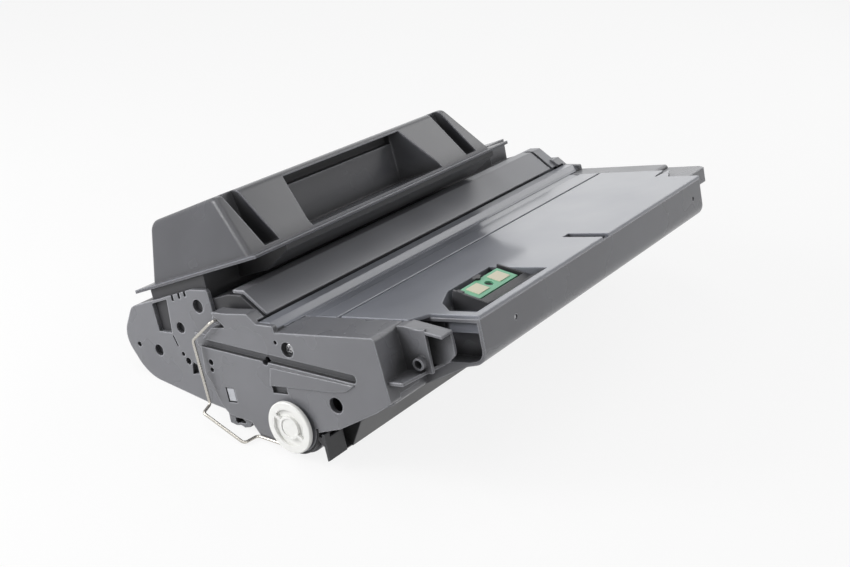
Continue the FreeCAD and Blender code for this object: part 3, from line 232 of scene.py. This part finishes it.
surfaces = {surface.name: surface for surface in (
    # The last argument above 1 gives a painted highlight on edges and painted shade in recesses
    moulded("charcoal", (0.15, 0.152, 0.165), 0.27, edge=0.0014, cloud=0.06, edge_highlight=2.8),
    # Painted shade: a darker copy of the charcoal for the hand grip, for light falling off across
    # it
    moulded("shaded_grip_charcoal", (0.06, 0.061, 0.069), 0.24, edge=0.002, cloud=0.08, edge_highlight=5.5),
    # Painted light: a lighter copy of the charcoal for the sloped panel, for light that the
    # flange keeps off it
    moulded("lit_panel_charcoal", (0.22, 0.223, 0.24), 0.36, edge=0.0015, cloud=0.05, edge_highlight=2.2),
    # Painted shade: a darker copy of the charcoal, for the hopper and developer housing in shade
    # under the flange
    moulded("shaded_charcoal", (0.03, 0.03, 0.033), 0.44, edge=0.0014, edge_highlight=4.0),
    moulded("gloss_charcoal", (0.19, 0.198, 0.225), 0.34, 0.0006, 0.000003, 0.0014, 0.04, 2.2),
    moulded("dark_resin", (0.04, 0.04, 0.043), 0.42, edge=0.0012, edge_highlight=3.0),
    moulded("shutter_resin", (0.024, 0.0245, 0.027), 0.36, edge=0.0012, edge_highlight=4.0),
    moulded("white_resin", (0.78, 0.78, 0.76), 0.36, 0.0008, 0.00001, 0.0005, 0.02),
    moulded("window_resin", (0.42, 0.43, 0.46), 0.3, 0.0008, 0.00001, 0.0003, 0.03),
    moulded("green_board", (0.16, 0.44, 0.27), 0.32, 0.0005, 0.000006, 0.0002, 0.05),
    moulded("pad_cream", (0.62, 0.58, 0.44), 0.34, 0.0005, 0.000006, 0.0001, 0.04),
    moulded("photoconductor", (0.02, 0.16, 0.17), 0.2, 0.01, 0.000002, 0.0002, 0.06),
    moulded("roller_rubber", (0.03, 0.03, 0.03), 0.62),
    moulded("blade_rubber", (0.42, 0.28, 0.10), 0.42, 0.001, 0.00001, 0.0002, 0.08),
    moulded("clear_film", (0.62, 0.62, 0.58), 0.25, 0.002, 0.00001, 0.0001, 0.04),
    moulded("magnet_black", (0.03, 0.03, 0.032), 0.55),
    metal("steel", (0.60, 0.60, 0.61), 0.3, (0.05, 1, 1)),
    metal("zinc_steel", (0.62, 0.64, 0.64), 0.36, (0.05, 1, 1)),
    metal("sleeve_metal", (0.32, 0.32, 0.33), 0.5, (1, 1, 1)),
    metal("wire_steel", (0.52, 0.50, 0.46), 0.24, (1, 1, 1), 0.0, 0.000001),
    metal("chrome_screw", (0.42, 0.42, 0.43), 0.2, (1, 1, 1)),
)}

gloss = surfaces["gloss_charcoal"].shader
gloss.inputs["Coat Weight"].default_value = 0.6
gloss.inputs["Coat Roughness"].default_value = 0.1
for slot in ("charcoal", "shaded_grip_charcoal"):
    surfaces[slot].shader.inputs["Specular IOR Level"].default_value = 0.6

slot_of_node = {part["node"]: part["material_slot"] for part in frame["record"]["subparts"]}
# Painted shade: the hopper and developer housing take the darker copy of the charcoal
slot_of_node["toner_hopper"] = "shaded_charcoal"
slot_of_node["developer_housing"] = "shaded_charcoal"
# Painted shade: the hand grip takes the darker copy of the charcoal
slot_of_node["handle_cover"] = "shaded_grip_charcoal"
# Painted light: the sloped panel takes the lighter copy of the charcoal
slot_of_node["sloped_panel"] = "lit_panel_charcoal"
for name, node in frame["nodes"].items():
    for slot in node.material_slots:
        slot.material = surfaces[slot_of_node[name]].material


# Cover screws: domed heads with a cross, smaller than their counterbores

SCREW_HEAD_R = 0.0032
SCREW_SHANK_R = 0.0016
SCREW_DOME = 0.0012
SCREW_SUNK = 0.0009
SCREW_SEAT = 0.0022
DOME_STEPS = 8
CROSS_LONG = 0.0021
CROSS_WIDE = 0.00055
CROSS_DEEP = 0.0013
CROSS_TURN = 28


def turned(name, profile, steps=48):
    """Solid turned about X from (x, radius) pairs that start and end on the axis."""
    angles = [2 * math.pi * i / steps for i in range(steps)]
    rings = [[(x, radius * math.cos(angle), radius * math.sin(angle)) for angle in angles]
             for x, radius in profile[1:-1]]
    points = [(profile[0][0], 0, 0)]
    points += [point for ring in rings for point in ring]
    points.append((profile[-1][0], 0, 0))
    last = len(points) - 1
    faces = []
    for i in range(steps):
        j = (i + 1) % steps
        faces.append((0, 1 + j, 1 + i))
        for k in range(len(rings) - 1):
            near, far = 1 + k * steps, 1 + (k + 1) * steps
            faces.append((near + i, near + j, far + j, far + i))
        end = 1 + (len(rings) - 1) * steps
        faces.append((end + i, end + j, last))
    mesh = bpy.data.meshes.new(name)
    mesh.from_pydata(points, [], faces)
    mesh.update()
    piece = bpy.data.objects.new(name, mesh)
    bpy.context.scene.collection.objects.link(piece)
    return piece


def carve(piece, size, centre):
    """Takes a box out of the piece."""
    bpy.ops.mesh.primitive_cube_add(size=1, location=centre)
    cutter = bpy.context.object
    cutter.scale = size
    bpy.context.view_layer.update()
    modifier = piece.modifiers.new("cross", "BOOLEAN")
    modifier.operation = "DIFFERENCE"
    modifier.solver = "EXACT"
    modifier.object = cutter
    bpy.context.view_layer.objects.active = piece
    bpy.ops.object.modifier_apply(modifier=modifier.name)
    bpy.data.objects.remove(cutter)


rim = SCREW_SUNK + SCREW_DOME
head = [(SCREW_SUNK, 0)]
for step in range(1, DOME_STEPS + 1):
    angle = math.radians(90 * step / DOME_STEPS)
    head.append((rim - SCREW_DOME * math.cos(angle), SCREW_HEAD_R * math.sin(angle)))
head += [(SCREW_SEAT, SCREW_HEAD_R), (SCREW_SEAT, SCREW_SHANK_R)]

screw_node = frame["nodes"]["cover_screws"]
screw_points = [screw_node.matrix_world @ vertex.co for vertex in screw_node.data.vertices]
for side, side_name, facing in ((-1, "left", 0), (1, "right", 180)):
    mine = [point for point in screw_points if point.x * side > 0]
    outer = max(mine, key=lambda point: point.x * side).x
    inner = min(mine, key=lambda point: point.x * side).x
    length = abs(outer - inner)
    screw = turned("cover_screw_" + side_name, head + [(length, SCREW_SHANK_R), (length, 0)])
    for cross_y, cross_z in ((CROSS_LONG, CROSS_WIDE), (CROSS_WIDE, CROSS_LONG)):
        carve(screw, (2 * CROSS_DEEP, 2 * cross_y, 2 * cross_z), (SCREW_SUNK, 0, 0))
    middle_y = (min(p.y for p in mine) + max(p.y for p in mine)) / 2
    middle_z = (min(p.z for p in mine) + max(p.z for p in mine)) / 2
    screw.matrix_world = (Matrix.Translation((outer, middle_y, middle_z))
                          @ Matrix.Rotation(math.radians(facing), 4, "Z")
                          @ Matrix.Rotation(math.radians(CROSS_TURN), 4, "X"))
    screw.data.materials.append(surfaces["chrome_screw"].material)
    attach(screw, "housing")
    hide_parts("cover_screws")


# Floor, light and background

def light_panel(name, place, aim, size, power, color=(1.0, 1.0, 1.0), mirrored=True):
    """Rectangular lamp aimed at a point; mirrored is whether glossy surfaces reflect it."""
    data = bpy.data.lights.new(name, "AREA")
    data.shape = "RECTANGLE"
    data.size = size[0]
    data.size_y = size[1]
    data.energy = power
    data.color = color
    lamp = bpy.data.objects.new(name, data)
    lamp.location = place
    lamp.rotation_euler = (Vector(aim) - Vector(place)).to_track_quat("-Z", "Y").to_euler()
    lamp.visible_glossy = mirrored
    bpy.context.scene.collection.objects.link(lamp)


light_panel("left_light", (-0.95, 0.7, 0.55), (-0.12, 0.0, 0.06), (1.3, 0.9), 9.5, mirrored=False)
light_panel("left_strip", (-0.75, 0.6, 0.5), (-0.12, 0.0, 0.06), (0.3, 0.5), 4.5)
light_panel("near_strip", (-0.75, -0.85, 0.85), (-0.05, 0.0, 0.06), (0.08, 0.9), 1.2)
light_panel("top_light", (-0.2, 0.1, 1.3), (0, 0, 0), (1.4, 0.1), 3.6)
light_panel("right_light", (1.0, -0.4, 0.9), (0, 0, 0.08), (1.2, 0.9), 6)
light_panel("front_light", (-0.2, -1.5, 0.7), (0, -0.1, 0.05), (1.2, 0.12), 3.5)
light_panel("far_panel", (1.25, 1.15, 0.62), (0, 0, 0.08), (1.6, 1.2), 2.4, (0.95, 0.97, 1.0))

FLOOR_SIZE = 6.0
FLOOR_CELLS = 8
FLOOR_DROP = 0.0001
FLOOR_GREY = 0.85
FLOOR_ROUGHNESS = 0.8
FLOOR_GLOW = 0.86
AMBIENT = 0.06

bpy.ops.mesh.primitive_grid_add(x_subdivisions=FLOOR_CELLS, y_subdivisions=FLOOR_CELLS,
                                size=FLOOR_SIZE, location=(0, 0, -FLOOR_DROP))
floor = bpy.context.object
floor.name = "floor"


def seen_directly(nodes, links):
    """1 for camera, glossy and transmission rays, 0 for the rays that only carry light."""
    path = nodes.new("ShaderNodeLightPath")
    total = path.outputs["Is Camera Ray"]
    for ray in ("Is Glossy Ray", "Is Transmission Ray"):
        add = nodes.new("ShaderNodeMath")
        add.operation = "ADD"
        add.use_clamp = True
        links.new(total, add.inputs[0])
        links.new(path.outputs[ray], add.inputs[1])
        total = add.outputs[0]
    return total


floor_surface = bpy.data.materials.new("floor_pale")
floor_surface.use_nodes = True
floor_nodes = floor_surface.node_tree.nodes
floor_links = floor_surface.node_tree.links
pale = floor_nodes["Principled BSDF"]
pale.inputs["Base Color"].default_value = (FLOOR_GREY, FLOOR_GREY, FLOOR_GREY, 1)
pale.inputs["Roughness"].default_value = FLOOR_ROUGHNESS
glow = floor_nodes.new("ShaderNodeEmission")
glow.inputs["Color"].default_value = (1, 1, 1, 1)
glow.inputs["Strength"].default_value = 1.0
share = floor_nodes.new("ShaderNodeMath")
share.operation = "MULTIPLY"
share.inputs[1].default_value = FLOOR_GLOW
floor_links.new(seen_directly(floor_nodes, floor_links), share.inputs[0])
blend = floor_nodes.new("ShaderNodeMixShader")
floor_links.new(share.outputs[0], blend.inputs[0])
floor_links.new(pale.outputs[0], blend.inputs[1])
floor_links.new(glow.outputs[0], blend.inputs[2])
floor_links.new(blend.outputs[0], floor_nodes["Material Output"].inputs["Surface"])
floor.data.materials.append(floor_surface)

world = bpy.data.worlds.new("studio")
bpy.context.scene.world = world
world.use_nodes = True
world_nodes = world.node_tree.nodes
world_nodes["Background"].inputs["Color"].default_value = (1, 1, 1, 1)
level = world_nodes.new("ShaderNodeMath")
level.operation = "MULTIPLY_ADD"
level.inputs[1].default_value = 1.0 - AMBIENT
level.inputs[2].default_value = AMBIENT
world.node_tree.links.new(seen_directly(world_nodes, world.node_tree.links), level.inputs[0])
world.node_tree.links.new(level.outputs[0], world_nodes["Background"].inputs["Strength"])

bpy.context.scene.view_settings.view_transform = "Standard"
